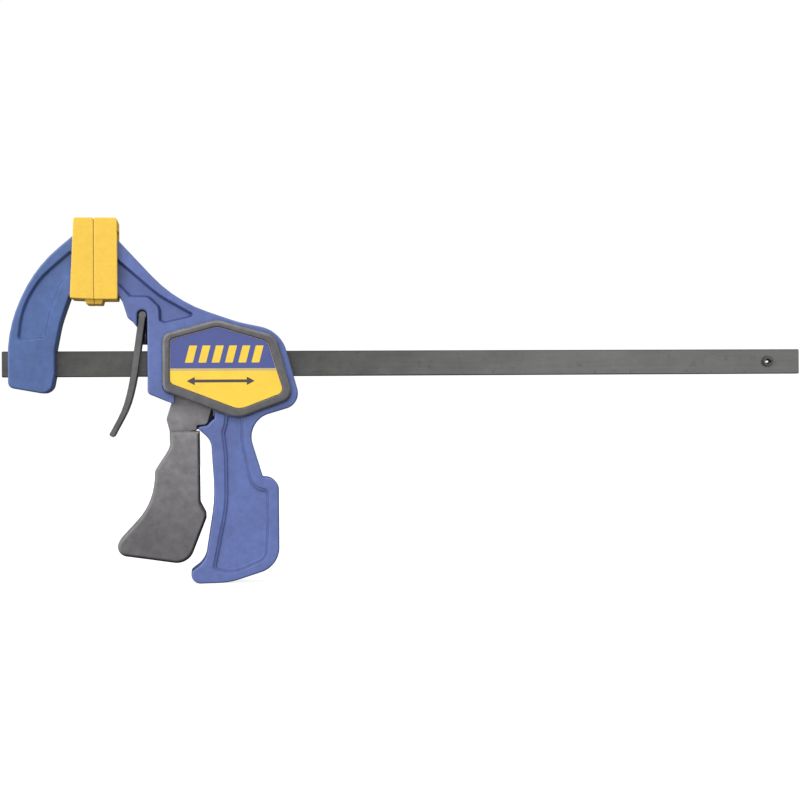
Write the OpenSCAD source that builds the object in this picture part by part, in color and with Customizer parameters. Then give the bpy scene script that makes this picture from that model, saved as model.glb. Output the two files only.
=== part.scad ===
// One-handed bar clamp: a flat steel bar with a fixed jaw at one end, and a
// pistol-grip body with a moving jaw that slides along it. Squeezing the
// trigger pushes the bar through the body, and the brake lever holds it.
//
// Frame: +X along the bar towards its free end, +Z up from grip to jaws.
// The origin is on the bar's centre line, where the two closed pads meet.

/* [Bar] */
// Height of the bar
bar_h = 16; // [14:0.5:17]
// Thickness of the bar
bar_t = 6; // [5:0.5:6]
// Distance from the closed pads to the bar's short end
bar_left = 57; // [56:1:70]
// Distance from the closed pads to the bar's free end
bar_right = 455; // [450:1:600]
// Distance from the closed pads to the stop pin
stop_x = 433; // [430:1:445]
// Radius of the stop pin
stop_pin_r = 3; // [2:0.25:4]

/* [Jaws and pads] */
// Width of the moulded jaws, body and handle, without covers
body_w = 22; // [20:0.5:22]
// Depth of the panels sunk into the jaws and the handle
panel_depth = 2.2; // [1:0.1:2.2]
// Width of the soft pads
pad_w = 30; // [26:1:34]
// Height at which the pads start, above the bar's centre line
pad_bottom = 39.6; // [38:0.2:41]
// Height of the lower edge of the tab below the pads
tab_bottom = 36.8; // [36:0.2:38]
// Height at which the pads end
pad_top = 89.8; // [86:0.2:95]
// Thickness of one pad
pad_t = 14.2; // [13:0.1:15]
// Radius of the pin that holds the fixed jaw on the bar
jaw_pin_r = 2.5; // [2:0.25:3]

/* [Trigger and drive] */
// X of the trigger's pivot
pivot_x = 60; // [59:0.5:61]
// Z of the trigger's pivot
pivot_z = 13.5; // [13:0.25:14]
// Radius of the trigger's pivot pin
pivot_r = 2.5; // [2:0.25:2.5]
// Outer width of the trigger's grip
grip_w = 27; // [27:0.5:32]
// Thickness of the drive lever's plate
drive_t = 3; // [2.5:0.25:3]
// Wire diameter of the drive spring
drive_wire = 1.6; // [1.2:0.1:1.6]
// Number of turns of the drive spring
drive_turns = 6.5; // [4:0.5:8]

/* [Brake] */
// Thickness of the brake lever's plate
brake_t = 4.2; // [2:0.2:5]
// Width of the brake lever's plate
brake_w = 19; // [16:0.5:22]
// Wire diameter of the brake spring
brake_wire = 1.1; // [0.8:0.1:1.4]
// Number of turns of the brake spring
brake_turns = 6; // [3:0.5:8]

/* [Covers] */
// Thickness of a cover plate
cover_t = 4; // [3:0.5:5]
// Depth of the cover's recess for the label
label_sink = 1.2; // [0.8:0.1:1.5]
// Thickness of a label
label_t = 0.5; // [0.3:0.1:0.7]

/* [Hidden] */

STEEL = [0.30, 0.30, 0.31];
BLUE = [0.30, 0.36, 0.58];
YELLOW = [0.95, 0.78, 0.25];
DARK = [0.22, 0.22, 0.23];

$fn = 48;
arc_step = 5;          // degrees between the points of a rounded corner
over = 1;              // how far a cut runs past the face it starts from
half_w = body_w / 2;
cover_y = half_w + cover_t;
run = 0.05;            // radial clearance of a part that turns on a pin
slide_gap = 0.3;       // clearance all round the bar where it slides
press_gap = 0.1;       // clearance all round the bar in the fixed jaw
pad_gap = 0.1;         // each pad stops this short of the closing plane
jaw_pin_x = -38;
jaw_pin_in = 8;        // how far the jaw's pin goes past the bar's centre line
jaw_pin_sunk = 0.5;    // and how far its head lies below the jaw's side
tongue_x = 5;          // the jaws' tongues start this far from the closing plane
tongue_bottom = 41.8;
tongue_top = 82.5;
stop_proud = 2;        // how far the stop pin stands out of each side
arm_x = 20;            // the bar's hole in the body runs from left of here
body_right = 125;      // to right of here

// Trigger fork, pocket and grip widths, as half widths
fork_in = bar_t / 2 + 0.6;
fork_out = fork_in + 3.2;
pocket_y = fork_out + 0.5;
channel_y = half_w + 0.4;
eye_r = 5.2;           // radius of the fork's eye round the pivot
lug_r = 4.4;           // radius of the body's lug between the fork's eyes
pin_clear = 1.7;       // the pivot pin ends this far inside the covers

// Drive lever
drive_x = 72;          // front face at rest
drive_top = 14.5;
drive_bottom = -33;
drive_half_w = 9.5;    // half width beside the bar
drive_step = -12;      // below this the plate is as narrow as the trigger's fork
seat_x = 108.5;        // rear wall that the drive spring pushes on

// Brake lever: pivot bead at the top, straight plate, curved tail
brake_x = 29.1;
brake_z = 30.2;
bead_r = 2.6;
socket_r = 2.95;
brake_lean = 7.4;      // degrees off upright at rest
brake_slot_h = 17.2;   // length of the hole for the bar, along the plate
brake_slot_drop = 0.3; // how far that hole's middle lies below the bar's
brake_spring_z = 17.5;
brake_spring_r = 4.4;  // mean radius
brake_pocket_r = 5.4;
brake_pocket_x = 41;   // bottom of the spring's pocket
brake_guard_t = 1.2;   // wall behind the spring

drive_spring_r = sqrt(bar_h * bar_h + bar_t * bar_t) / 2 + 0.3 + drive_wire / 2;

// ---- outline helpers -------------------------------------------------------

// Angle of the direction from a to b
function heading(a, b) = atan2(b[1] - a[1], b[0] - a[0]);
// Turn from one heading to the next, between -180 and 180
function turn_of(h1, h2) = (h2 - h1 + 540) % 360 - 180;

// Points that round the corner at b, between a and c, with radius b[2]
function corner(a, b, c) =
    let (h1 = heading(a, b),
         turn = turn_of(h1, heading(b, c)),
         side = sign(turn),
         reach = b[2] * tan(abs(turn) / 2),
         start = [b[0] - reach * cos(h1), b[1] - reach * sin(h1)],
         centre = [start[0] - side * b[2] * sin(h1),
                   start[1] + side * b[2] * cos(h1)],
         steps = max(1, ceil(abs(turn) / arc_step)))
    (b[2] < 0.01 || abs(turn) < 0.5)
        ? [[b[0], b[1]]]
        : [for (i = [0 : steps])
              let (h = h1 + turn * i / steps)
              [centre[0] + side * b[2] * sin(h), centre[1] - side * b[2] * cos(h)]];

// Closed outline from corners [x, z, corner radius]
function rounded(p) =
    let (n = len(p))
    [for (i = [0 : n - 1])
        for (q = corner(p[(i + n - 1) % n], p[i], p[(i + 1) % n])) q];

// An outline in X and Z, made into a slab from y1 to y2
module slab(p, y1, y2) {
    translate([0, y2, 0])
        rotate([90, 0, 0])
            linear_extrude(height = y2 - y1)
                polygon(rounded(p));
}

// The same outline sunk into both sides, from the faces down to y = depth
module both_sides(p, floor_y, face_y) {
    slab(p, -face_y, -floor_y);
    slab(p, floor_y, face_y);
}

// A box from its two corners
module block(low, high) {
    translate(low) cube(high - low);
}

// A round bar along Y
module rod_y(x, z, r, y1, y2) {
    translate([x, y2, z])
        rotate([90, 0, 0])
            cylinder(r = r, h = y2 - y1);
}

// A rolled spring pin along Y: a tube with a slit down one side
module spring_pin(x, z, r, y1, y2) {
    bore_r = r * 0.55;
    half_slit = r * 0.14;
    difference() {
        rod_y(x, z, r, y1, y2);
        rod_y(x, z, bore_r, y1 - over, y2 + over);
        block([x, y1 - over, z - half_slit], [x + r + over, y2 + over, z + half_slit]);
    }
}

// A hole for the bar, with the given clearance all round
module bar_hole(x1, x2, gap) {
    block([x1, -bar_t / 2 - gap, -bar_h / 2 - gap],
          [x2, bar_t / 2 + gap, bar_h / 2 + gap]);
}

// A helical spring along X, as one closed tube with flat ends
module coil(x1, x2, z, mean_r, wire, turns) {
    sides = 8;
    per_turn = 16;
    rings = ceil(turns * per_turn);
    span = x2 - x1 - wire;
    points = [for (i = [0 : rings])
        let (a = 360 * turns * i / rings,
             x = x1 + wire / 2 + span * i / rings)
        for (j = [0 : sides - 1])
            let (b = 360 * j / sides,
                 r = mean_r + wire / 2 * cos(b))
            [x + wire / 2 * sin(b), r * cos(a), z + r * sin(a)]];
    walls = [for (i = [0 : rings - 1])
        for (j = [0 : sides - 1])
            let (k = (j + 1) % sides)
            [i * sides + j, i * sides + k, (i + 1) * sides + k, (i + 1) * sides + j]];
    first = [for (j = [sides - 1 : -1 : 0]) j];
    last = [for (j = [0 : sides - 1]) rings * sides + j];
    polyhedron(points = points, faces = concat(walls, [first, last]));
}

// ---- outlines, as corners [x, z, radius] -----------------------------------

// Fixed jaw, from its tongue inside the pad, down its back and round its foot
BAR_JAW = [
    [-tongue_x, tongue_top, 1], [-8.8, tongue_top, 3], [-36, 59.3, 85], [-52.6, 22, 85],
    [-52.4, -14.4, 4], [-26.6, -19.1, 6.5], [-24.1, -6, 4], [-24.1, 8, 20],
    [-20.8, 25, 60], [-15.9, 39, 1], [-15, tongue_bottom, 0.5],
    [-tongue_x, tongue_bottom, 1]
];
BAR_JAW_PANEL = [
    [-12, 71.6, 2], [-33, 53, 50], [-43.9, 35, 50], [-46.6, 14.4, 2.5],
    [-29.6, 15.9, 2.5], [-27.2, 31, 60], [-21, 48.5, 20], [-12, 58, 2]
];

// Moving jaw, body and handle in one moulding
BODY = [
    [tongue_x, tongue_top, 1], [tongue_x, tongue_bottom, 1],
    [14.5, tongue_bottom, 0.5], [17, 38.2, 2],
    [20, 28.6, 1.5], [22.6, 26.6, 1.5], [24.6, 23.2, 1.2], [32, 22, 0.5],
    [32, -18.6, 3], [45.4, -24.2, 0.6], [47.2, -14, 0.6], [77, -24, 1],
    [77, -36.5, 1], [72.6, -37.3, 2], [69, -39, 2], [64.5, -39.3, 1],
    [62.3, -40.2, 0.8], [70.9, -48, 12], [73, -85, 90], [67, -123, 14],
    [58, -129.6, 3], [58.4, -137, 5.8], [82, -136.6, 40], [112.8, -127, 16],
    [112.8, -71.6, 7.5], [103.1, -71.4, 2.5], [92.1, -36, 15], [127.3, -25.6, 10],
    [114.6, 20.2, 21], [88, 25.8, 60], [49.3, 38.9, 84],
    [8.8, tongue_top, 2]
];
ARM_PANEL = [
    [10, 68.4, 1], [10, 51, 1], [14.5, 48.4, 3], [21.4, 41.2, 2.5],
    [32.6, 40.9, 4], [39, 34.6, 5], [39.2, 26.4, 2], [42.4, 24.9, 1.5],
    [57, 28.2, 1.5], [62, 30, 1.5], [39.6, 42.6, 60]
];
HANDLE_PANEL = [
    [79.8, -34.6, 1], [79.6, -38.2, 1.5], [76.6, -41.5, 2], [79, -56, 60],
    [79.4, -88, 90], [71.2, -128.4, 3],
    [84.5, -131, 20], [105.2, -122.4, 8], [106.4, -99, 60], [106.2, -79.2, 3.5],
    [96.4, -76.6, 10], [90.6, -48, 40], [90.6, -34.6, 1.5]
];
WINDOW = [
    [74.5, 23, 12], [46.5, 15.6, 3], [46.5, -14, 2], [76, -25.6, 1],
    [87, -30, 10], [108.5, -21.8, 1.5], [108.5, 13.8, 1.5]
];
// Slot in the middle of the handle's root that lets the trigger swing back
ROOT_POCKET = [
    [58, -22, 0], [93, -22, 1], [93, -43, 3], [76, -43, 2],
    [73.5, -56, 2], [60, -62, 0]
];
// Walls on the rear side only: behind the drive lever's lower end, and behind
// the brake lever's spring
LEVER_GUARD = [
    [61.2, -22, 0], [78, -22, 0], [78, -39, 0], [70.5, -40.6, 2], [61.2, -41.4, 1]
];
BRAKE_GUARD = [
    [25.9, 33, 0], [32.1, 33, 0], [32.1, 12.4, 0], [27.4, 12.4, 1], [25.9, 22.4, 2]
];

COVER = [
    [74.5, 27.2, 14], [41.1, 18.2, 6], [41, -16.8, 6],
    [87.6, -34.8, 15], [122.2, -22, 7], [110.9, 17.4, 9]
];
LABEL = [
    [75.1, 23, 11], [45.7, 15, 3.5], [45.5, -12.3, 3.5],
    [88.3, -28.9, 12], [116.2, -18.3, 4.5], [106.3, 13.6, 6]
];

GRIP = [
    [45.3, -42.1, 0.6], [46.2, -51, 14], [36.2, -66.2, 4], [35.2, -86.8, 44],
    [7, -117.3, 6.2], [56.4, -124.9, 11], [68.3, -94.6, 4.5],
    [64.2, -86.8, 5], [64, -42.1, 0.6]
];
// Space inside the grip: open at the top, at the back and under the heel
GRIP_CHANNEL = [
    [47.4, -30, 0], [48.4, -51.8, 12], [39.2, -66.6, 4], [38.3, -87.6, 40],
    [17.5, -109.8, 3], [26, -116, 3], [27, -140, 0], [90, -140, 0], [90, -30, 0]
];
TRIGGER_HEAD = [
    [48.8, -13.5, 1], [47.6, -20, 3], [46.4, -24.6, 3], [43.3, -34.6, 3],
    [45.2, -42, 1], [45.6, -58, 0], [48.4, -56, 1], [51.5, -44, 2],
    [62.1, -41.6, 1], [62.3, -38.7, 0.8], [67.3, -38.5, 1.2],
    [69, -37, 1], [71.4, -28.5, 5], [71.4, -21, 3], [68.5, -13.5, 1]
];

// Brake lever's two faces, as a strip round its centre line
BRAKE = [
    [brake_x - brake_t / 2, brake_z, 0], [23.9 - brake_t / 2, -9.9, 80],
    [19.6 - brake_t / 2, -27.4, 56], [8.3, -44, 1], [11.1, -45.8, 1],
    [19.6 + brake_t / 2, -26.8, 60], [23.9 + brake_t / 2, -9.3, 84],
    [brake_x + brake_t / 2, brake_z, 0]
];

// ---- bar assembly ----------------------------------------------------------

module slide_bar() {
    color(STEEL)
        difference() {
            block([-bar_left, -bar_t / 2, -bar_h / 2], [bar_right, bar_t / 2, bar_h / 2]);
            rod_y(stop_x, 0, stop_pin_r, -bar_t, bar_t);
            rod_y(jaw_pin_x, 0, jaw_pin_r, -bar_t, bar_t);
        }
}

module bar_stop_pin() {
    color(STEEL)
        spring_pin(stop_x, 0, stop_pin_r, -bar_t / 2 - stop_proud, bar_t / 2 + stop_proud);
}

module bar_jaw() {
    color(BLUE)
        difference() {
            slab(BAR_JAW, -half_w, half_w);
            both_sides(BAR_JAW_PANEL, half_w - panel_depth, half_w + over);
            bar_hole(-bar_left - over, 0, press_gap);
            rod_y(jaw_pin_x, 0, jaw_pin_r, -jaw_pin_in, half_w + over);
        }
}

module bar_jaw_pin() {
    color(STEEL)
        spring_pin(jaw_pin_x, 0, jaw_pin_r, -jaw_pin_in, half_w - jaw_pin_sunk);
}

// A pad is a thick cap with a socket that the jaw's tongue fills
module pad(outline, tab) {
    tab_y = pad_w / 2 - 4;
    socket_y = half_w + 0.15;
    socket_gap = 0.2;
    difference() {
        union() {
            slab(outline, -pad_w / 2, pad_w / 2);
            slab(tab, -tab_y, tab_y);
        }
        for (side = [-1, 1])
            block([min(side * (tongue_x - socket_gap), side * 2 * pad_t), -socket_y,
                   tongue_bottom - socket_gap],
                  [max(side * (tongue_x - socket_gap), side * 2 * pad_t), socket_y,
                   tongue_top + socket_gap]);
    }
}

module bar_jaw_pad() {
    color(YELLOW)
        pad([[-pad_gap, pad_top, 1], [2 - pad_t, pad_top, 1.5],
             [-pad_t - 0.4, pad_bottom + 0.7, 1], [-pad_gap, pad_bottom, 0.5]],
            [[-pad_gap, pad_bottom + 2, 0], [-6.2, pad_bottom + 2, 0],
             [-5, tab_bottom, 0.8], [-pad_gap, tab_bottom, 0.3]]);
}

// ---- body ------------------------------------------------------------------

module body_frame() {
    panel_y = half_w - panel_depth;
    color(BLUE)
        difference() {
            union() {
                difference() {
                    slab(BODY, -half_w, half_w);
                    slab(WINDOW, -half_w - over, half_w + over);
                    both_sides(ARM_PANEL, panel_y, half_w + over);
                    both_sides(HANDLE_PANEL, panel_y, half_w + over);
                    slab(ROOT_POCKET, -pocket_y, pocket_y);
                    brake_socket();
                }
                pivot_lug();
                slab(LEVER_GUARD, pocket_y, half_w);
                slab(BRAKE_GUARD, half_w - brake_guard_t, half_w);
            }
            bar_hole(arm_x - over, body_right + over, slide_gap);
            rod_y(pivot_x, pivot_z, pivot_r, -half_w, half_w);
            translate([brake_x, 0, brake_spring_z])
                rotate([0, 90, 0])
                    cylinder(r = brake_pocket_r, h = brake_pocket_x - brake_x);
        }
}

// Tongue that hangs from the window's roof between the trigger's two eyes
module pivot_lug() {
    lug_y = fork_in - 0.3;
    roof_z = 24;
    rod_y(pivot_x, pivot_z, lug_r, -lug_y, lug_y);
    block([pivot_x - lug_r, -lug_y, pivot_z], [pivot_x + lug_r, lug_y, roof_z]);
}

// Round-topped slot across the arm that the brake lever's bead hangs in
module brake_socket() {
    rod_y(brake_x, brake_z, socket_r, -half_w - over, half_w + over);
    slab([[26.05, brake_z, 0], [32.05, brake_z, 0], [32.05, 10, 0], [25.4, 10, 0]],
         -half_w - over, half_w + over);
}

module body_jaw_pad() {
    color(YELLOW)
        pad([[pad_gap, pad_top, 1], [pad_gap, pad_bottom, 0.5],
             [pad_t, pad_bottom, 1], [pad_t, pad_top, 1.5]],
            [[pad_gap, pad_bottom + 2, 0], [pad_gap, tab_bottom, 0.3],
             [4.6, tab_bottom, 0.8], [5.8, pad_bottom + 2, 0]]);
}

// Cover for the front (side = -1) or the rear (side = 1)
module cover(side) {
    mirror([0, side < 0 ? 1 : 0, 0]) {
        difference() {
            slab(COVER, half_w, cover_y);
            slab(LABEL, cover_y - label_sink, cover_y + over);
        }
        cover_clip(60.5, 19.4, 15.2);
        cover_clip(91.5, 18.4, -15.2);
        cover_clip(97.7, -25.9, 200.9);
        cover_clip(46.5, 0, 90);
    }
}

// Tab behind the cover that springs into the window's edge. x, z is the
// middle of that edge and lean its slope, with the window on its right.
module cover_clip(x, z, lean) {
    clip = [12, 1.7, 1.4];
    clip_gap = 0.15;
    translate([x, half_w - clip[1] + 0.1, z])
        rotate([0, -lean, 0])
            translate([-clip[0] / 2, 0, -clip[2] - clip_gap])
                cube(clip);
}

module front_cover() {
    color(DARK) cover(-1);
}

module rear_cover() {
    color(DARK) cover(1);
}

module label(side) {
    floor_y = cover_y - label_sink;
    color(YELLOW)
        mirror([0, side < 0 ? 1 : 0, 0])
            slab(LABEL, floor_y, floor_y + label_t);
}

module front_label() {
    label(-1);
}

module rear_label() {
    label(1);
}

module trigger_pivot_pin() {
    color(STEEL)
        rod_y(pivot_x, pivot_z, pivot_r, -half_w + pin_clear, half_w - pin_clear);
}

// ---- moving parts in the body ----------------------------------------------

module trigger() {
    color(DARK)
        difference() {
            union() {
                difference() {
                    slab(GRIP, -grip_w / 2, grip_w / 2);
                    slab(GRIP_CHANNEL, -channel_y, channel_y);
                }
                slab(TRIGGER_HEAD, -fork_out, fork_out);
                fork_arm(-fork_out, -fork_in);
                fork_arm(fork_in, fork_out);
            }
            rod_y(pivot_x, pivot_z, pivot_r + run, -half_w, half_w);
        }
}

// One arm of the fork that passes beside the bar up to the pivot
module fork_arm(y1, y2) {
    rod_y(pivot_x, pivot_z, eye_r, y1, y2);
    slab([[pivot_x - eye_r, pivot_z, 0], [49.5, -9, 8], [49, -16, 0],
          [69, -16, 0], [66.5, -6, 12], [pivot_x + eye_r, pivot_z, 0]], y1, y2);
}

module drive_lever() {
    color(STEEL)
        difference() {
            union() {
                block([drive_x, -drive_half_w, drive_step],
                      [drive_x + drive_t, drive_half_w, drive_top]);
                block([drive_x, -fork_out, drive_bottom], [drive_x + drive_t, fork_out, 0]);
            }
            bar_hole(drive_x - over, drive_x + drive_t + over, slide_gap);
        }
}

module drive_spring() {
    color(STEEL)
        coil(drive_x + drive_t, seat_x, 0, drive_spring_r, drive_wire, drive_turns);
}

module brake_lever() {
    slot_low = -brake_z - brake_slot_h / 2 - brake_slot_drop;
    color(DARK)
        difference() {
            union() {
                rod_y(brake_x, brake_z, bead_r, -brake_w / 2, brake_w / 2);
                slab(BRAKE, -brake_w / 2, brake_w / 2);
            }
            translate([brake_x, 0, brake_z])
                rotate([0, brake_lean, 0])
                    block([-2 * brake_t, -bar_t / 2 - slide_gap, slot_low],
                          [2 * brake_t, bar_t / 2 + slide_gap, slot_low + brake_slot_h]);
        }
}

module brake_spring() {
    lever_face = brake_x - (brake_z - brake_spring_z) * tan(brake_lean)
                 + brake_t / 2;
    color(STEEL)
        coil(lever_face + 0.3, brake_pocket_x, brake_spring_z,
             brake_spring_r, brake_wire, brake_turns);
}

slide_bar();
bar_stop_pin();
bar_jaw();
bar_jaw_pin();
bar_jaw_pad();
body_frame();
body_jaw_pad();
front_cover();
rear_cover();
front_label();
rear_label();
trigger_pivot_pin();
trigger();
drive_lever();
drive_spring();
brake_lever();
brake_spring();
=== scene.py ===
"""Looks of the one-handed bar clamp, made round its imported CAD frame.

Shapes are built in millimetres, from outlines in X and Z given as corners
(x, z, corner radius), and scaled to metres when a piece is finished.
"""
import math

import bmesh
import bpy
from mathutils import Matrix, Vector


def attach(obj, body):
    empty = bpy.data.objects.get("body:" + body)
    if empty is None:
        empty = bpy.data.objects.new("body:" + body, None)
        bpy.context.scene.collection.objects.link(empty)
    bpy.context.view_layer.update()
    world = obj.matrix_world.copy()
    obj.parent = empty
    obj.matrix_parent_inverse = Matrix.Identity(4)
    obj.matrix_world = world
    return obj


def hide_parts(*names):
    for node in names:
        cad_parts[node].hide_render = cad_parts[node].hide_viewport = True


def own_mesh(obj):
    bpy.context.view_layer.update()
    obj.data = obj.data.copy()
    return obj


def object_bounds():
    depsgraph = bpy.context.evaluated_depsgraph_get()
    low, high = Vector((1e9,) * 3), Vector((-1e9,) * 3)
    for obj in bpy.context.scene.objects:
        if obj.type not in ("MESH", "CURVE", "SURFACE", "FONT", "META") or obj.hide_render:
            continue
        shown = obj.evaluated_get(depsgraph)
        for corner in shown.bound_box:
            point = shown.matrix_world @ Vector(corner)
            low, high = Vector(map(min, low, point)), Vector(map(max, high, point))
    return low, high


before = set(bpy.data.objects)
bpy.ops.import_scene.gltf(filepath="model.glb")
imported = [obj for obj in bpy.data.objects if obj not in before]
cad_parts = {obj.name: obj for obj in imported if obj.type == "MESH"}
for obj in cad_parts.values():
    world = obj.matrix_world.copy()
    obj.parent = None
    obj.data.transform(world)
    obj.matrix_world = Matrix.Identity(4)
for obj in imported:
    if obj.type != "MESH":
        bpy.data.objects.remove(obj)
cad_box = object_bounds()

MM = 0.001
ARC_STEP = math.radians(6)     # turn between two points of a rounded corner
EDGE_STEPS = 4                 # facets across a rounded edge
LEAST_RADIUS = 0.04
FLAT_TURN = math.radians(0.5)  # a smaller turn than this gets one point
SHARP_ANGLE = math.radians(34)  # edges sharper than this are shaded as edges
SHY = 0.01                     # keeps joined solids' faces out of one plane

# ---- camera ----------------------------------------------------------------

EYE = (64.8, -989.1, -23.6)
YAW, ROLL = math.radians(7.254), math.radians(0.4)
LENS, SENSOR = 70.31, 36

ahead = Vector((math.sin(YAW), math.cos(YAW), 0))
level = Vector((math.cos(YAW), -math.sin(YAW), 0))
up = Vector((0, 0, 1))
cam_x = level * math.cos(ROLL) - up * math.sin(ROLL)
cam_y = level * math.sin(ROLL) + up * math.cos(ROLL)
camera = bpy.data.objects.new("camera", bpy.data.cameras.new("camera"))
camera.data.lens, camera.data.sensor_width = LENS, SENSOR
camera.matrix_world = Matrix.Translation(Vector(EYE) * MM) @ Matrix(
    (cam_x, cam_y, -ahead)).transposed().to_4x4()
bpy.context.scene.collection.objects.link(camera)
bpy.context.scene.camera = camera

# ---- outlines --------------------------------------------------------------

BAR = dict(x1=-57, x2=455, half_h=8, half_t=3)
HALF_W = 11                    # half width of the blue mouldings
TONGUE = [5, 41.8, 82.5]       # the jaws' tongues: start in X, lowest and highest Z

BAR_JAW = [(-5, 82.5, 1), (-8.8, 82.5, 3), (-36, 59.3, 85), (-52.6, 22, 85),
           (-52.4, -14.4, 4), (-26.6, -19.1, 6.5), (-24.1, -6, 4), (-24.1, 8, 20),
           (-20.8, 25, 60), (-15.9, 39, 1), (-15, 41.8, 0.5), (-5, 41.8, 1)]
BAR_JAW_PANEL = [(-12, 71.6, 2), (-33, 53, 50), (-43.9, 35, 50), (-46.6, 14.4, 2.5),
                 (-29.6, 15.9, 2.5), (-27.2, 31, 60), (-21, 48.5, 20), (-12, 58, 2)]
BODY = [(5, 82.5, 1), (5, 41.8, 1), (14.5, 41.8, 0.5), (17, 38.2, 2), (20, 28.6, 1.5),
        (22.6, 26.6, 1.5), (25.8, 22.4, 0.6), (26.1, 33.15, 2.9), (32.05, 33.15, 2.9),
        (32, -18.6, 3), (45.4, -24.2, 0.6), (46.5, -15, 0.5), (46.5, 15.6, 3),
        (74.5, 23, 12), (108.5, 13.8, 1.5), (108.5, -21.8, 1.5), (87, -30, 10),
        (73.4, -26, 0.5), (73, -34.4, 1), (70.6, -36.4, 2), (68.6, -38.6, 2),
        (64.5, -39.3, 1), (62.3, -40.2, 0.8), (70.9, -48, 12), (73, -85, 90),
        (67, -123, 14), (58, -129.6, 3), (58.4, -137, 5.8), (82, -136.6, 40),
        (112.8, -127, 16),
        (112.8, -71.6, 7.5), (103.1, -71.4, 2.5), (92.1, -36, 15), (127.3, -25.6, 10),
        (114.6, 20.2, 21), (88, 25.8, 60), (49.3, 38.9, 84), (8.8, 82.5, 2)]
ARM_PANEL = [(10, 68.4, 1), (10, 51, 1), (14.5, 48.4, 3), (21.4, 41.2, 2.5),
             (32.6, 40.9, 4), (39, 34.6, 5), (39.2, 26.4, 2), (42.4, 24.9, 1.5),
             (57, 28.2, 1.5), (62, 30, 1.5), (39.6, 42.6, 60)]
HANDLE_PANEL = [(79.8, -31.2, 1), (79, -38.2, 4), (77.4, -43, 6), (79, -56, 60),
                (79.4, -88, 90), (71.2, -128.4, 3), (84.5, -131, 20),
                (105.2, -122.4, 8), (106.4, -99, 60), (106.2, -79.2, 3.5),
                (96.4, -76.6, 10), (90.6, -48, 40), (90.6, -33, 1.5)]
ROOT_POCKET = [(58, -22, 0), (93, -22, 1), (93, -43, 3), (76, -43, 2),
               (73.5, -56, 2), (60, -62, 0)]
LEVER_GUARD = [(61.2, -22, 0), (78, -22, 0), (78, -39, 0), (70.5, -40.6, 2),
               (61.2, -41.4, 1)]
BRAKE_GUARD = [(25.9, 33, 0), (32.1, 33, 0), (32.1, 12.4, 0), (27.4, 12.4, 1),
               (25.9, 22.4, 2)]
BODY_CORNER = [(44.5, -14, 0), (48.6, -14, 0), (48, -25.2, 0.6), (44.8, -23.9, 0)]
COVER = [(74.5, 27.2, 14), (41.1, 18.2, 6), (41, -16.8, 6), (87.6, -34.8, 15),
         (122.2, -22, 7), (110.9, 17.4, 9)]
LABEL = [(75.1, 23, 11), (45.7, 15, 3.5), (45.5, -12.3, 3.5), (88.3, -28.9, 12),
         (116.2, -18.3, 4.5), (106.3, 13.6, 6)]
LABEL_TOP = [(75.1, 23, 11), (45.7, 15, 3.5), (45.6, -3.5, 0.1), (111.5, -3.5, 0.1),
             (106.3, 13.6, 6)]
LABEL_LOW = [(45.5, -4.4, 0.1), (45.5, -12.3, 3.5), (88.3, -28.9, 12),
             (116.2, -18.3, 4.5), (111.75, -4.4, 0.1)]
GRIP = [(45.3, -42.1, 0.6), (46.2, -51, 14), (36.2, -66.2, 4), (35.2, -86.8, 44),
        (7, -117.3, 6.2), (56.4, -124.9, 11), (68.3, -94.6, 4.5), (64.2, -86.8, 5),
        (64, -42.1, 0.6)]
GRIP_CHANNEL = [(47.4, -30, 0), (48.4, -51.8, 12), (39.2, -66.6, 4), (38.3, -87.6, 40),
                (17.5, -109.8, 3), (26, -116, 3), (27, -140, 0), (90, -140, 0),
                (90, -30, 0)]
TRIGGER_HEAD = [(48.8, -13.5, 1), (47.6, -20, 3), (46.4, -24.6, 3), (43.3, -34.6, 3),
                (45.2, -42, 1), (45.6, -58, 0), (48.4, -56, 1), (51.5, -44, 2),
                (62.1, -41.6, 1), (62.3, -38.7, 0.8), (67.3, -38.5, 1.2),
                (69, -37, 1), (71.4, -28.5, 5), (71.4, -21, 3), (68.5, -13.5, 1)]
FORK_ARM = [(54.8, 19, 5), (49.5, -9, 8), (49, -16, 0), (69, -16, 0), (66.5, -6, 12),
            (65.2, 19, 5)]
BRAKE = [(26.9, 30.2, 0), (21.2, -9.9, 80), (17.2, -27.4, 56), (8.2, -44, 1),
         (11, -45.8, 1), (21.3, -26.8, 60), (25.5, -9.3, 84), (31.1, 30.2, 0)]
BAR_PAD = [(-0.1, 89.8, 1), (-12.2, 89.8, 1.5), (-14.6, 40.3, 1), (-0.1, 39.6, 0.5)]
BAR_PAD_TAB = [(-0.1, 41.6, 0), (-6.2, 41.6, 0), (-5, 36.8, 0.8), (-0.1, 36.8, 0.3)]
BODY_PAD = [(0.1, 89.8, 1), (0.1, 39.6, 0.5), (14.2, 39.6, 1), (14.2, 89.8, 1.5)]
BODY_PAD_TAB = [(0.1, 41.6, 0), (0.1, 36.8, 0.3), (4.6, 36.8, 0.8), (5.8, 41.6, 0)]


def rectangle(x1, x2, z1, z2, r=0.0):
    return [(x1, z1, r), (x2, z1, r), (x2, z2, r), (x1, z2, r)]


def circle(x, z, r):
    return rectangle(x - r, x + r, z - r, z + r, r * 0.999)


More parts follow.
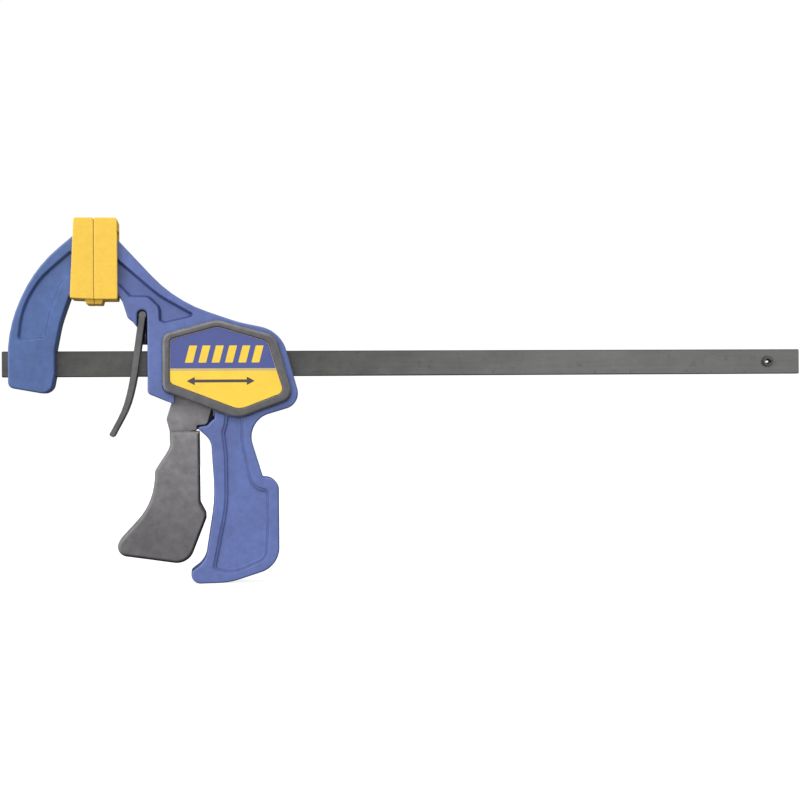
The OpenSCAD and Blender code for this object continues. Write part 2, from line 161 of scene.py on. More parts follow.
def ring(corners, inset=0.0):
    """Points (x, z) of the outline, moved inwards by inset. Every inset of an
    outline has the same number of points, so rings can be joined one to one."""
    n = len(corners)
    area = sum(corners[i - 1][0] * corners[i][1] - corners[i][0] * corners[i - 1][1]
               for i in range(n))
    way = 1 if area > 0 else -1
    heads = []
    for i in range(n):
        a, b = corners[i], corners[(i + 1) % n]
        heads.append(math.atan2(b[1] - a[1], b[0] - a[0]))
    points = []
    for i, (x, z, r) in enumerate(corners):
        h1, h2 = heads[i - 1], heads[i]
        turn = (h2 - h1 + math.pi) % (2 * math.pi) - math.pi
        shift = inset * way / (1 + math.cos(turn))
        x -= shift * (math.sin(h1) + math.sin(h2))
        z += shift * (math.cos(h1) + math.cos(h2))
        if abs(turn) < FLAT_TURN:
            points.append((x, z))
            continue
        side = 1 if turn > 0 else -1
        r = max(r - inset if side == way else r + inset, LEAST_RADIUS)
        reach = r * math.tan(abs(turn) / 2)
        cx = x - reach * math.cos(h1) - side * r * math.sin(h1)
        cz = z - reach * math.sin(h1) + side * r * math.cos(h1)
        steps = max(1, math.ceil(abs(turn) / ARC_STEP))
        for s in range(steps + 1):
            h = h1 + turn * s / steps
            points.append((cx + side * r * math.sin(h), cz - side * r * math.cos(h)))
    return points


# ---- solids ----------------------------------------------------------------

RIM_MARK, WALL_SHADE = 0.5, 0.7  # a panel's rim (painted highlight and wear above, painted shade below) and its wall (painted shade), in edge marks
CREASE_DEPTH = 3                # a panel this deep gets the full painted shade at its foot


def rim(face, into, r, out):
    """Stations (y, inset, edge) of a rounded edge, from the face to the wall."""
    turns = [math.pi / 2 * k / EDGE_STEPS for k in range(EDGE_STEPS + 1)]
    return [(face + into * r * (1 - math.cos(t)), out * r * (1 - math.sin(t)),
             math.sin(2 * t)) for t in turns]


def hollow(face, into, depth, rim_r, foot_r, draft):
    """Stations of a sunk panel: rounded rim, sloping wall, filleted foot. A deeper
    panel gets more painted shade on its wall and in its crease."""
    depth_mark = min(1.0, depth / CREASE_DEPTH)
    stations = []
    for k, (y, inset, edge) in enumerate(rim(face, into, rim_r, -1)):
        down = k / EDGE_STEPS
        stations.append((y, inset, edge * RIM_MARK * (1 - down)
                         - WALL_SHADE * down * depth_mark))
    floor = face + into * depth
    for k in range(EDGE_STEPS + 1):
        t = math.pi / 2 * k / EDGE_STEPS
        stations.append((floor - into * foot_r * (1 - math.sin(t)),
                         draft + foot_r * (1 - math.cos(t)),
                         (k / EDGE_STEPS - 1) * depth_mark))
    return stations


class Solid:
    """A closed solid between two faces that look along Y."""

    def __init__(self):
        self.bm = bmesh.new()
        self.mark = self.bm.verts.layers.float.new("edge")

    def loft(self, corners, stations):
        """Walls through the outline's rings. Returns the first and last ring's edges."""
        rings = []
        for y, inset, edge in stations:
            loop = [self.bm.verts.new((x, y, z)) for x, z in ring(corners, inset)]
            for v in loop:
                v[self.mark] = edge
            rings.append(loop)
        n = len(rings[0])
        for a, b in zip(rings, rings[1:]):
            for i in range(n):
                j = (i + 1) % n
                self.bm.faces.new((a[i], a[j], b[j], b[i]))
        ends = []
        for loop in (rings[0], rings[-1]):
            ends.append([self.bm.edges.get((loop[i], loop[(i + 1) % n]))
                         for i in range(n)])
        return ends

    def fill(self, *loops):
        edges = [e for loop in loops for e in loop]
        bmesh.ops.triangle_fill(self.bm, use_beauty=True, edges=edges)

    def mesh(self, name):
        bmesh.ops.recalc_face_normals(self.bm, faces=self.bm.faces)
        data = bpy.data.meshes.new(name)
        self.bm.to_mesh(data)
        self.bm.free()
        return data


def plate(name, outline, y1, y2, edge=0.5, far_edge=None, front=(), back=(),
          through=()):
    """A slab with edges rounded to a radius. front and back are sunk panels, as
    (outline, depth, rim radius, foot radius, draft); through are holes, as (outline,
    rim radius)."""
    far_edge = edge if far_edge is None else far_edge
    s = Solid()
    near, far = s.loft(outline, rim(y1, 1, edge, 1) + rim(y2, -1, far_edge, 1)[::-1])
    near, far = [near], [far]
    for shape, rim_r in through:
        a, b = s.loft(shape, rim(y1, 1, rim_r, -1) + rim(y2, -1, rim_r, -1)[::-1])
        near.append(a)
        far.append(b)
    for group, face, into, panels in ((near, y1, 1, front), (far, y2, -1, back)):
        for shape, *sizes in panels:
            a, b = s.loft(shape, hollow(face, into, *sizes))
            group.append(a)
            s.fill(b)
        s.fill(*group)
    return new_object(name, s.mesh(name))


def new_object(name, data):
    obj = bpy.data.objects.new(name, data)
    bpy.context.scene.collection.objects.link(obj)
    return obj


def combine(obj, other, operation="DIFFERENCE"):
    """Cuts the other solid from obj, or joins it to obj, and removes the other."""
    step = obj.modifiers.new("step", "BOOLEAN")
    step.operation, step.solver, step.object = operation, "EXACT", other
    bpy.context.view_layer.update()
    view = bpy.context.evaluated_depsgraph_get()
    data = bpy.data.meshes.new_from_object(obj.evaluated_get(view))
    obj.modifiers.clear()
    obj.data = data
    bpy.data.objects.remove(other)
    return obj


def box(x1, x2, half_y, z1, z2, edge=0.02):
    return plate("cutter", rectangle(x1, x2, z1, z2), -half_y, half_y, edge)


def bar_hole(x1, x2, gap):
    """A cutter for the hole that the bar passes through, with a gap all round."""
    half_h = BAR["half_h"] + gap
    return box(x1, x2, BAR["half_t"] + gap, -half_h, half_h)


def sweep(name, points, normals, radius, sides=12):
    """A round wire along points. normals give one direction across it at each point."""
    bm = bmesh.new()
    rings = []
    n = len(points)
    for i, p in enumerate(points):
        along = (points[min(i + 1, n - 1)] - points[max(i - 1, 0)]).normalized()
        a = normals[i] - along * normals[i].dot(along)
        a.normalize()
        b = along.cross(a)
        rings.append([bm.verts.new(p + (a * math.cos(t) + b * math.sin(t)) * radius)
                      for t in [2 * math.pi * k / sides for k in range(sides)]])
    for u, v in zip(rings, rings[1:]):
        for k in range(sides):
            bm.faces.new((u[k], u[(k + 1) % sides], v[(k + 1) % sides], v[k]))
    bm.faces.new(rings[0][::-1])
    bm.faces.new(rings[-1])
    bmesh.ops.recalc_face_normals(bm, faces=bm.faces)
    data = bpy.data.meshes.new(name)
    bm.to_mesh(data)
    bm.free()
    return new_object(name, data)


def coil(name, x1, x2, z, mean_r, wire, turns):
    """A compression spring along X whose end turns close up."""
    steps = int(turns * 36)    # points in a turn
    closed = 0.8               # turns at each end that lie flat
    climb = wire * 0.55        # how far such an end gains along X
    start, end = x1 + wire / 2, x2 - wire / 2
    points, normals = [], []
    for i in range(steps + 1):
        t = turns * i / steps
        share = max(0.0, min(1.0, (t - closed) / (turns - 2 * closed)))
        lead = climb * (min(t, closed) / closed)
        tail = climb * (1 - min(turns - t, closed) / closed)
        x = start + lead + (end - start - 2 * climb) * share + tail
        a = 2 * math.pi * t
        out = Vector((0, math.cos(a), math.sin(a)))
        points.append(Vector((x, 0, z)) + out * mean_r)
        normals.append(out)
    return sweep(name, points, normals, wire / 2)


def rod(name, x, z, r, half_y, edge=0.4):
    return plate(name, circle(x, z, r), -half_y, half_y, edge)


def rolled_pin(name, x, z, r, y1, y2):
    """A pin rolled from sheet: a tube with a slit, rounded at both ends."""
    def arc(radius, gap, steps):
        """Points round the tube, from one side of the slit to the other."""
        turns = [gap + (2 * math.pi - 2 * gap) * k / steps for k in range(steps + 1)]
        return [(x + radius * math.cos(a), z + radius * math.sin(a), 0) for a in turns]

    slit = 0.25                # half of the slit's angle, outside
    bore = r * 0.55
    return plate(name, arc(r, slit, 40) + arc(bore, slit * 1.5, 24)[::-1], y1, y2,
                 edge=0.3)


# ---- materials -------------------------------------------------------------

class Graph:
    """Small helper for node trees: new nodes with their inputs set or linked."""

    def __init__(self, name):
        self.material = bpy.data.materials.new(name)
        self.material.use_nodes = True
        self.tree = self.material.node_tree
        self.tree.nodes.clear()
        self.where = self.add("ShaderNodeTexCoord").outputs["Object"]

    def add(self, kind, inputs=(), **settings):
        node = self.tree.nodes.new(kind)
        for key, value in settings.items():
            setattr(node, key, value)
        for key, value in dict(inputs).items():
            if isinstance(value, bpy.types.NodeSocket):
                self.tree.links.new(value, node.inputs[key])
            else:
                node.inputs[key].default_value = value
        return node

    def noise(self, scale, detail=3.0, rough=0.55, stretch=None):
        """Noise fixed to the piece, with about scale features in a metre."""
        where = self.where
        if stretch:
            where = self.add("ShaderNodeMapping", {"Vector": where, "Scale": stretch}
                             ).outputs["Vector"]
        node = self.add("ShaderNodeTexNoise", {"Vector": where, "Scale": scale,
                                               "Detail": detail, "Roughness": rough})
        return node.outputs["Fac"]

    def scaled(self, value, low, high, from_low=0.3, from_high=0.7):
        """Maps a span, at first the one that noise mostly fills, to low and high."""
        node = self.add("ShaderNodeMapRange", {"Value": value, "From Min": from_low,
                                               "From Max": from_high, "To Min": low,
                                               "To Max": high})
        return node.outputs["Result"]

    def math(self, operation, a, b=0.0):
        return self.add("ShaderNodeMath", {0: a, 1: b}, operation=operation).outputs[0]

    def mix(self, factor, a, b, blend="MIX"):
        node = self.add("ShaderNodeMix", {0: factor}, data_type="RGBA", blend_type=blend)
        for socket, value in ((node.inputs[6], a), (node.inputs[7], b)):
            if isinstance(value, bpy.types.NodeSocket):
                self.tree.links.new(value, socket)
            else:
                socket.default_value = (*value[:3], 1)
        return node.outputs[2]

    def grey(self, value):
        return self.add("ShaderNodeCombineColor", {0: value, 1: value, 2: value}
                        ).outputs[0]

    def scale_colour(self, colour, value):
        return self.mix(1.0, colour, self.grey(value), "MULTIPLY")

    def along(self, axis, start, end):
        """0 at one place along an axis, 1 at the other."""
        place = self.add("ShaderNodeSeparateXYZ", {0: self.where}).outputs[axis]
        return self.scaled(place, 0, 1, start, end)

    def edge(self):
        """1 on rounded edges, -1 in creases, as the meshes say."""
        return self.add("ShaderNodeAttribute", attribute_name="edge",
                        attribute_type="GEOMETRY").outputs["Fac"]

    def shade_side(self):
        """For painted light and shade: 0 on sides of the piece that look up and left,
        towards the light, 1 on sides that look down and right, away from it.
        """
        normal = self.add("ShaderNodeTexCoord").outputs["Normal"]
        node = self.add("ShaderNodeVectorMath", {0: normal, 1: (0.75, 0, -0.66)},
                        operation="DOT_PRODUCT")
        return self.scaled(node.outputs["Value"], 0, 1, -0.25, 0.5)

    def finish(self, colour, roughness, height, depth, **fixed):
        bump = self.add("ShaderNodeBump", {"Height": height, "Strength": 1.0,
                                           "Distance": depth})
        shader = self.add("ShaderNodeBsdfPrincipled",
                          {"Base Color": colour, "Roughness": roughness,
                           "Normal": bump.outputs["Normal"]})
        for key, value in fixed.items():
            shader.inputs[key.replace("_", " ")].default_value = value
        out = self.add("ShaderNodeOutputMaterial")
        self.tree.links.new(shader.outputs[0], out.inputs["Surface"])
        return self.material


def linear(*srgb):
    """A colour given as 0-255 display values, in linear light."""
    return tuple(c / 12.92 if c <= 0.04045 else ((c + 0.055) / 1.055) ** 2.4
                 for c in [v / 255 for v in srgb])


def times(colour, k):
    return tuple(min(1.0, c * k) for c in colour)


def moulding(name, base, highlight_colour, dark, roughness=0.45, blotch=0.1, grain=0.00005,
             paler_top=None, rim_shade=0.6, **fixed):
    """Moulded plastic: cloudy colour, fine texture, a painted highlight on rounded edges
    that look up and left, broken up like wear, and painted shade in creases and on
    edges that look down and right. paler_top is a paler colour towards the top of a
    piece, between two heights."""
    g = Graph(name)
    cloud = g.scaled(g.noise(38, 5, 0.6), 0, 1)
    colour = g.mix(cloud, times(base, 1 - blotch), times(base, 1 + blotch))
    # Paler towards the top of the piece, between two heights.
    if paler_top:
        paler, low, high = paler_top
        share = g.math("MULTIPLY", g.along("Z", low, high),
                       g.scaled(g.noise(70, 5, 0.65), 0.55, 1))
        colour = g.mix(share, colour, paler)
    for size, amount in ((210, blotch * 0.9), (700, 0.04)):
        colour = g.scale_colour(colour, g.scaled(g.noise(size, 3, 0.55), 1 - amount,
                                                 1 + amount))
    edge, in_shade = g.edge(), g.shade_side()
    rim_part = g.math("MAXIMUM", edge, 0.0)
    crease_part = g.math("MAXIMUM", g.math("MULTIPLY", edge, -1.0), 0.0)
    # Paler rounded edges on the sides that look up and left: a painted highlight, broken
    # up like wear.
    wear_and_highlight = g.math("MULTIPLY", g.math("MULTIPLY", rim_part, g.math("SUBTRACT", 1, in_shade)),
                  g.scaled(g.noise(120, 6, 0.7), 0.2, 0.8))
    colour = g.mix(wear_and_highlight, colour, highlight_colour)
    # Painted shade: darker rounded edges that look down and right, and darker creases,
    # more so on their sides that look down and right.
    painted_shade = g.math("ADD", g.math("MULTIPLY", g.math("MULTIPLY", rim_part, in_shade),
                                 rim_shade),
                   g.math("MULTIPLY", crease_part, g.scaled(in_shade, 0.5, 1, 0, 1)))
    painted_shade = g.math("MULTIPLY", painted_shade, g.scaled(g.noise(60, 4, 0.6), 0.6, 0.95))
    colour = g.mix(painted_shade, colour, dark)
    scuffs = g.scaled(g.noise(22, 8, 0.75), 0, 1, 0.52, 0.72)
    rough = g.math("ADD", g.scaled(g.noise(150, 4, 0.6), roughness - 0.06,
                                   roughness + 0.06), g.math("MULTIPLY", scuffs, 0.1))
    height = g.math("ADD", g.noise(1500, 2, 0.5),
                    g.math("MULTIPLY", g.noise(90, 3, 0.5), 1.6))
    return g.finish(colour, rough, height, grain, **fixed)


def steel(name, base, roughness, metal, blotch=0.3, grain=0.00003, rim_dark=0.5,
          dark_spot=None, painted_sheen=None):
    """Drawn steel: streaks along X, cloudy oxide, darker edges. painted_sheen is a paler
    colour towards the free end, between two places along X: a painted reflection of
    light. dark_spot is a dark spot, given as the move and scale that bring it to a
    unit ball round the origin."""
    g = Graph(name)
    cloud = g.scaled(g.noise(55, 6, 0.65), 0, 1)
    colour = g.mix(cloud, times(base, 1 - blotch), times(base, 1 + blotch))
    # A painted reflection: paler towards the free end.
    if painted_sheen:
        paler, start, end = painted_sheen
        share = g.math("MULTIPLY", g.along("X", start, end),
                       g.scaled(g.noise(40, 5, 0.65), 0.7, 1))
        colour = g.mix(share, colour, paler)
    streak = g.scaled(g.noise(1, 5, 0.6, stretch=(30, 420, 420)), 0.93, 1.07)
    colour = g.scale_colour(colour, streak)
    fleck = g.scaled(g.noise(260, 5, 0.7), 0, 0.5, 0.58, 0.74)
    colour = g.mix(fleck, colour, times(base, 0.45))
    edge = g.math("MULTIPLY", g.math("MAXIMUM", g.edge(), 0.0), rim_dark)
    colour = g.mix(edge, colour, times(base, 0.2))
    # A soft dark spot, broken up by noise, where dark_spot puts it.
    if dark_spot:
        move, scale = dark_spot
        spot = g.add("ShaderNodeMapping", {"Vector": g.where, "Location": move,
                                           "Scale": scale})
        ball = g.add("ShaderNodeTexGradient", {"Vector": spot.outputs["Vector"]},
                     gradient_type="SPHERICAL").outputs["Fac"]
        shape = g.math("MULTIPLY", g.scaled(ball, 0, 1, 0.05, 0.5),
                       g.scaled(g.noise(240, 4, 0.7), 0.5, 1))
        colour = g.mix(shape, colour, times(base, 0.3))
    rough = g.scaled(g.noise(1, 4, 0.6, stretch=(30, 600, 600)), roughness - 0.08,
                     roughness + 0.08)
    height = g.math("ADD", g.noise(1, 4, 0.6, stretch=(20, 1500, 1500)),
                    g.math("MULTIPLY", g.noise(420, 3, 0.6), 0.8))
    return g.finish(colour, rough, height, grain, Metallic=metal)


def print_foil(name, base):
    """Printed label: even ink with slight mottling, under a clear film."""
    g = Graph(name)
    cloud = g.scaled(g.noise(90, 4, 0.6), 0, 1)
    colour = g.mix(cloud, times(base, 0.94), times(base, 1.05))
    colour = g.scale_colour(colour, g.scaled(g.noise(1400, 1, 0.5), 0.97, 1.03))
    rough = g.scaled(g.noise(300, 5, 0.7), 0.3, 0.48)
    return g.finish(colour, rough, g.noise(220, 3, 0.5), 0.00002, Coat_Weight=0.25,
                    Coat_Roughness=0.22)


# Each moulding: its colour, the colour of its painted highlight, the colour of its painted
# shade.
jaw_blue = moulding("jaw_moulding", linear(67, 93, 147), linear(98, 118, 168),
                    linear(32, 46, 88), blotch=0.13)
body_blue = moulding("body_moulding", linear(84, 101, 159), linear(110, 124, 178),
                     linear(32, 38, 78), blotch=0.11)
dark = moulding("dark_moulding", linear(84, 83, 85), linear(140, 141, 144),
                linear(28, 26, 28), roughness=0.42, blotch=0.18, rim_shade=0.3)
# Its rim_shade paints strong shade on the trigger's rounded edges that look down and
# right.
trigger_grey = moulding("trigger_moulding", linear(88, 85, 88),
                        linear(124, 121, 124), linear(24, 22, 24), roughness=0.48,
                        blotch=0.2, paler_top=(linear(128, 125, 129), -0.11, -0.035),
                        rim_shade=1.5)
yellow = moulding("pad_yellow", linear(232, 190, 62), linear(240, 210, 130),
                  linear(178, 128, 30), roughness=0.55, blotch=0.03, rim_shade=0.25,
                  Subsurface_Weight=0.08, Subsurface_Scale=0.002)
# The bar: paler towards its free end as a painted reflection, and a dark spot round the
# stop pin.
bar_steel = steel("bar_steel", linear(74, 74, 73), 0.42, 0.5, rim_dark=0.9,
                  dark_spot=((-78, 0, 0), (180, 0, 220)),
                  painted_sheen=(linear(112, 112, 111), 0.12, 0.3))
pin_steel = steel("pin_steel", linear(84, 84, 86), 0.4, 0.6, rim_dark=0.3)
spring_steel = steel("spring_steel", linear(96, 96, 98), 0.4, 0.5, rim_dark=0.1)
lever_steel = steel("lever_steel", linear(90, 89, 89), 0.45, 0.4, rim_dark=0.4)
ink_blue = print_foil("label_blue", linear(62, 74, 140))
ink_yellow = print_foil("label_yellow", linear(239, 199, 50))
ink_pale = print_foil("label_pale", linear(196, 172, 110))
ink_dark = print_foil("label_dark", linear(60, 50, 50))

# ---- pieces ----------------------------------------------------------------


def done(obj, name, body, material, replaced=()):
    """Scales a solid to metres, shades it, and makes it ride on its body."""
    data = obj.data
    data.transform(Matrix.Scale(MM, 4))
    data.shade_smooth()
    data.set_sharp_from_angle(angle=SHARP_ANGLE)
    data.materials.clear()
    data.materials.append(material)
    obj.name = name
    normals = obj.modifiers.new("normals", "WEIGHTED_NORMAL")
    normals.keep_sharp, normals.weight = True, 50
    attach(obj, body)
    if replaced:
        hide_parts(*replaced)
    return obj


# Bar with its stop pin
STOP_X, STOP_R, STOP_Y, BAR_EDGE = 433, 3, 5, 0.7
bar = plate("bar", rectangle(BAR["x1"], BAR["x2"], -BAR["half_h"], BAR["half_h"],
                             BAR_EDGE),
            -BAR["half_t"], BAR["half_t"], edge=BAR_EDGE,
            through=[(circle(STOP_X, 0, STOP_R), 0.15)])
done(bar, "vis_slide_bar", "bar", bar_steel, ["slide_bar"])
done(rolled_pin("pin", STOP_X, 0, STOP_R, -STOP_Y, STOP_Y), "vis_stop_pin", "bar",
     pin_steel, ["bar_stop_pin"])

# Fixed jaw on the bar
JAW_PIN_X, JAW_PIN_R, JAW_PIN_Y1, JAW_PIN_Y2 = -38, 2.5, 8.2, 10.5
PANEL = (2.2, 0.8, 1, 0.6)     # depth, rim radius, foot radius, draft
PIN_POCKET = (3, 0.3, 0.05, 0.0)
jaw = plate("jaw", BAR_JAW, -HALF_W, HALF_W, edge=1.3,
            front=[(BAR_JAW_PANEL, *PANEL)],
            back=[(BAR_JAW_PANEL, *PANEL),
                  (circle(JAW_PIN_X, 0, JAW_PIN_R), *PIN_POCKET)])
combine(jaw, bar_hole(-60, 0, 0.1))
done(jaw, "vis_bar_jaw", "bar", jaw_blue, ["bar_jaw"])
done(rolled_pin("pin", JAW_PIN_X, 0, JAW_PIN_R - 0.02, JAW_PIN_Y1, JAW_PIN_Y2),
     "vis_jaw_pin", "bar", pin_steel, ["bar_jaw_pin"])


PAD_Y, TONGUE_GAP = 15, 0.2


def make_pad(name, body, outline, tab, side, node):
    pad = plate(name, outline, -PAD_Y, PAD_Y, edge=0.55)
    combine(pad, plate("tab", tab, -HALF_W, HALF_W, edge=0.5), "UNION")
    start, low, high = TONGUE
    x1, x2 = sorted((side * (start - TONGUE_GAP), side * 30))
    combine(pad, box(x1, x2, HALF_W + 0.15, low - TONGUE_GAP, high + TONGUE_GAP))
    done(pad, name, body, yellow, [node])


make_pad("vis_bar_jaw_pad", "bar", BAR_PAD, BAR_PAD_TAB, -1, "bar_jaw_pad")
make_pad("vis_body_jaw_pad", "handle", BODY_PAD, BODY_PAD_TAB, 1, "body_jaw_pad")

# Body, arm and handle in one moulding
DEEP_PANEL = (3.6, 0.6, 0.8, 1.1)
SOFT_PANEL = (1.9, 0.8, 1, 1.4)
POCKET_Y = 7.3                 # half width of the pocket for the trigger's head
GUARD_T, GROOVE = 1.2, 0.9     # brake spring's rear wall, groove round the covers
body = plate("body", BODY, -HALF_W, HALF_W, edge=1.2,
             front=[(ARM_PANEL, *DEEP_PANEL), (HANDLE_PANEL, *SOFT_PANEL)],
             back=[(ARM_PANEL, *DEEP_PANEL), (HANDLE_PANEL, *SOFT_PANEL)])
combine(body, plate("pocket", ROOT_POCKET, -POCKET_Y, POCKET_Y, edge=0.8))
combine(body, plate("guard", LEVER_GUARD, POCKET_Y, HALF_W - SHY, edge=0.3), "UNION")
for y1, y2 in ((-HALF_W + SHY, -POCKET_Y), (POCKET_Y, HALF_W - SHY)):
    combine(body, plate("corner", BODY_CORNER, y1, y2, edge=0.3), "UNION")
groove = [(x - 0.2, z - 0.8, r) for x, z, r in COVER]
island = [(x, z - 1, r) for x, z, r in LABEL]
for y1, y2 in ((-HALF_W - 1, -HALF_W + GROOVE), (HALF_W - GROOVE, HALF_W + 1)):
    combine(body, plate("groove", groove, y1, y2, edge=0.05, through=[(island, 0.05)]))
combine(body, plate("guard", BRAKE_GUARD, HALF_W - GUARD_T, HALF_W - SHY, edge=0.2),
        "UNION")
combine(body, bar_hole(19, 126, 0.3))
done(body, "vis_body_frame", "handle", body_blue, ["body_frame"])

# Covers and labels
COVER_Y, SINK, LABEL_T = 15, 1.5, 0.5
COVER_EDGE, COVER_FOOT = 2.2, 0.1
INK_Y, MARK_Y = 0.06, 0.02     # how far under the label's top the printed layers start
MARKS, MARK_X, MARK_STEP, MARK_W, MARK_LEAN = 6, 55, 8.2, 4.8, 2.8
MARK_LOW, MARK_HIGH = 0.4, 11
ARROW = [(56, -11, 0.2), (61, -13.6, 0.2), (61, -11.9, 0.1), (93, -11.9, 0.1),
         (93, -13.6, 0.2), (98, -11, 0.2), (93, -8.4, 0.2), (93, -10.1, 0.1),
         (61, -10.1, 0.1), (61, -8.4, 0.2)]


def cover_side(side, tag):
    near, far = (-COVER_Y, -HALF_W) if side < 0 else (HALF_W, COVER_Y)
    panel = [(LABEL, SINK, 0.9, 0.15, 0.1)]
    if side < 0:
        cover = plate("cover", COVER, near, far, COVER_EDGE, COVER_FOOT, front=panel)
    else:
        cover = plate("cover", COVER, near, far, COVER_FOOT, COVER_EDGE, back=panel)
    done(cover, f"vis_{tag}_cover", "handle", dark, [f"{tag}_cover"])

    def layer(name, shape, low, high, ink, inset=0.35, replaced=()):
        y1, y2 = sorted((side * low, side * high))
        s = Solid()
        a, b = s.loft(shape, [(y1, inset, 0), (y2, inset, 0)])
        s.fill(a)
        s.fill(b)
        done(new_object(name, s.mesh(name)), name, "handle", ink, replaced)

    floor = COVER_Y - SINK
    top = floor + LABEL_T
    layer(f"vis_{tag}_label", LABEL, floor, top - INK_Y, ink_pale, 0.2,
          [f"{tag}_label"])
    layer(f"vis_{tag}_label_top", LABEL_TOP, top - INK_Y, top - MARK_Y, ink_blue)
    layer(f"vis_{tag}_label_low", LABEL_LOW, top - INK_Y, top - MARK_Y, ink_yellow)
    for k in range(MARKS):
        x = MARK_X + MARK_STEP * k
        slanted = [(x, MARK_LOW, 0.3), (x + MARK_W, MARK_LOW, 0.3),
                   (x + MARK_W + MARK_LEAN, MARK_HIGH, 0.3),
                   (x + MARK_LEAN, MARK_HIGH, 0.3)]
        layer(f"vis_{tag}_mark_{k}", slanted, top - MARK_Y, top, ink_yellow, 0)
    layer(f"vis_{tag}_arrow", ARROW, top - MARK_Y, top, ink_dark, 0)


cover_side(-1, "front")
cover_side(1, "rear")

# Trigger
GRIP_Y, CHANNEL_Y, FORK_IN, FORK_OUT = 13.5, 11.4, 3.6, 6.8
PIVOT_X, PIVOT_Z, PIVOT_R, PIVOT_Y = 60, 13.5, 2.5, 9.3
trigger = plate("trigger", GRIP, -GRIP_Y, GRIP_Y, edge=2.4)
combine(trigger, plate("channel", GRIP_CHANNEL, -CHANNEL_Y, CHANNEL_Y, edge=1.2))
combine(trigger, plate("head", TRIGGER_HEAD, -FORK_OUT, FORK_OUT, edge=0.7), "UNION")
for y1, y2 in ((-FORK_OUT + SHY, -FORK_IN), (FORK_IN, FORK_OUT - SHY)):
    combine(trigger, plate("arm", FORK_ARM, y1, y2, edge=0.3), "UNION")
combine(trigger, rod("bore", PIVOT_X, PIVOT_Z, PIVOT_R + 0.05, 10, edge=0.1))
done(trigger, "vis_trigger", "trigger", trigger_grey, ["trigger"])
done(rod("pin", PIVOT_X, PIVOT_Z, PIVOT_R, PIVOT_Y), "vis_pivot_pin", "handle",
     pin_steel, ["trigger_pivot_pin"])

# Drive lever and its spring
LEVER_X1, LEVER_X2 = 72, 75
LEVER_Y, FOOT_Y = 9.5, 6.8     # half widths of both levers, and of this one's end
lever = box(LEVER_X1, LEVER_X2, LEVER_Y, -12, 14.5, edge=0.4)
combine(lever, box(LEVER_X1 + SHY, LEVER_X2 - SHY, FOOT_Y, -33, -11, edge=0.4),
        "UNION")
combine(lever, bar_hole(LEVER_X1 - 2, LEVER_X2 + 2, 0.3))
done(lever, "vis_drive_lever", "drive", lever_steel, ["drive_lever"])
SEAT_X, DRIVE_TRAVEL = 108.5, 10.8
drive_spring = coil("spring", LEVER_X2, SEAT_X, 0, mean_r=9.65, wire=1.6, turns=6.5)
done(drive_spring, "vis_drive_spring", "handle", spring_steel,
     ["drive_spring"])
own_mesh(drive_spring)

# Brake lever and its spring
BRAKE_X, BRAKE_Z, LEAN = 29.1, 30.2, math.radians(7.4)  # the bead, the lever's slope
SLOT_LOW, SLOT_HIGH = -39.1, -21.9                      # along the lever, from the bead
brake = plate("brake", BRAKE, -LEVER_Y, LEVER_Y, edge=0.6)
combine(brake, rod("bead", BRAKE_X, BRAKE_Z, 2.6, LEVER_Y, edge=0.6), "UNION")
slot_cut = box(-6, 6, BAR["half_t"] + 0.3, SLOT_LOW, SLOT_HIGH)
slot_cut.data.transform(Matrix.Translation((BRAKE_X, 0, BRAKE_Z)) @ Matrix.Rotation(
    LEAN, 4, "Y"))
combine(brake, slot_cut)
done(brake, "vis_brake_lever", "brake", lever_steel, ["brake_lever"])
SPRING_Z, POCKET_X, FACE_GAP = 17.5, 41, 2.4
face_x = BRAKE_X - (BRAKE_Z - SPRING_Z) * math.tan(LEAN) + FACE_GAP
brake_spring = coil("spring", face_x, POCKET_X, SPRING_Z, mean_r=4.4, wire=1.1,
                    turns=6)
done(brake_spring, "vis_brake_spring", "handle", spring_steel,
     ["brake_spring"])
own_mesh(brake_spring)

# ---- floor, backdrop, light -------------------------------------------------

FAR = 12                                         # the backdrop's radius, in metres
KEY = Vector((-0.58, -0.64, 0.5)).normalized()   # where most of the light comes from
AIM = Vector((0.1, 0, 0))                        # what the lamps point at
WHITE = (1, 1, 1, 1)


def hide_from_light(obj):
    """The floor and backdrop show as white, and throw no light on the object."""
    obj.visible_diffuse = obj.visible_glossy = obj.visible_transmission = False


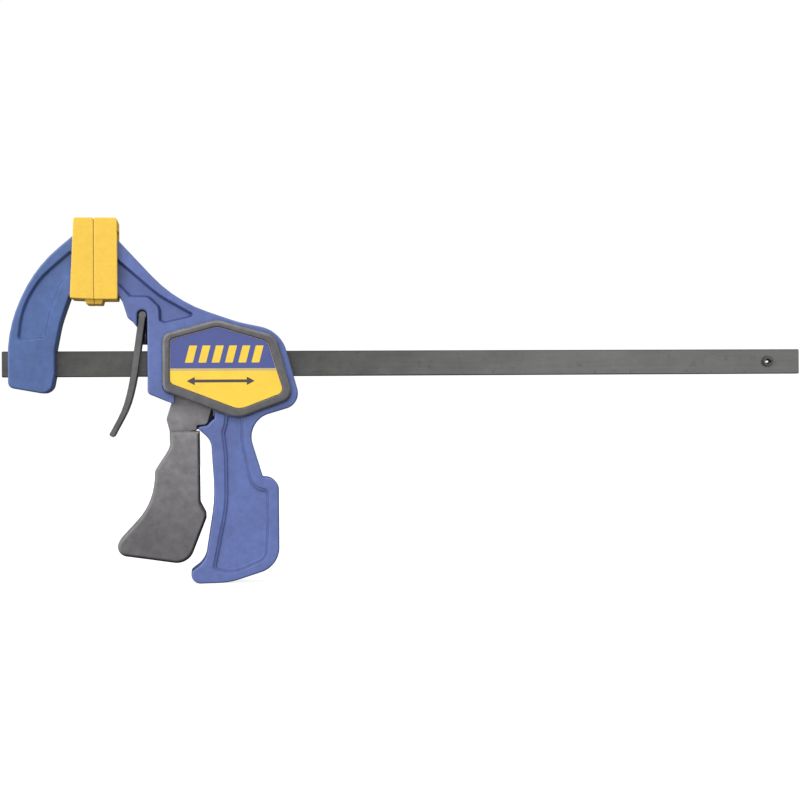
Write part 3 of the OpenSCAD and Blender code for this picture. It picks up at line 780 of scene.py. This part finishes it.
floor_z = cad_box[0].z
floor = new_object("floor", bpy.data.meshes.new("floor"))
floor.data.from_pydata([(-FAR, -FAR, floor_z), (FAR, -FAR, floor_z), (FAR, FAR, floor_z),
                        (-FAR, FAR, floor_z)], [], [(0, 1, 2, 3)])
g = Graph("floor")
tone = g.scaled(g.noise(3, 2), 0.24, 0.26)
floor.data.materials.append(g.finish(
    g.grey(tone), 0.9, g.noise(50), 0.0001, Emission_Color=WHITE,
    Emission_Strength=0.84))
hide_from_light(floor)

bm = bmesh.new()
bmesh.ops.create_icosphere(bm, subdivisions=4, radius=FAR)
backdrop = new_object("backdrop", bpy.data.meshes.new("backdrop"))
bm.to_mesh(backdrop.data)
bm.free()
g = Graph("backdrop")
glow = g.add("ShaderNodeEmission", {"Color": WHITE, "Strength": 1.02})
g.tree.links.new(glow.outputs[0], g.add("ShaderNodeOutputMaterial").inputs["Surface"])
backdrop.data.materials.append(g.material)
hide_from_light(backdrop)
backdrop.visible_shadow = False

# The studio: brighter towards the key side, all round soft
world = bpy.data.worlds.new("studio")
bpy.context.scene.world = world
world.use_nodes = True
tree = world.node_tree
back = tree.nodes["Background"]
where = tree.nodes.new("ShaderNodeTexCoord")
towards = tree.nodes.new("ShaderNodeVectorMath")
towards.operation = "DOT_PRODUCT"
towards.inputs[1].default_value = KEY
amount = tree.nodes.new("ShaderNodeMapRange")
amount.interpolation_type = "SMOOTHSTEP"
for key, value in (("From Min", -0.35), ("From Max", 1), ("To Min", 0.14),
                   ("To Max", 1.6)):
    amount.inputs[key].default_value = value
tree.links.new(where.outputs["Generated"], towards.inputs[0])
tree.links.new(towards.outputs["Value"], amount.inputs["Value"])
tree.links.new(amount.outputs["Result"], back.inputs["Strength"])
back.inputs["Color"].default_value = WHITE
bpy.context.scene.view_settings.view_transform = "Standard"


def soft_light(name, place, size, watts, gloss=True):
    lamp = bpy.data.lights.new(name, "AREA")
    lamp.shape, lamp.size, lamp.energy = "SQUARE", size, watts
    obj = new_object(name, lamp)
    obj.location = place
    obj.rotation_mode = "QUATERNION"
    obj.rotation_quaternion = (AIM - Vector(place)).to_track_quat("-Z", "Y")
    obj.visible_glossy = gloss


soft_light("key", (-0.6, -0.8, 0.9), size=0.5, watts=5)
soft_light("fill", (1.5, -0.1, 0.5), size=0.8, watts=7)
soft_light("back", (-0.3, 1.5, 0.6), size=1, watts=24, gloss=False)
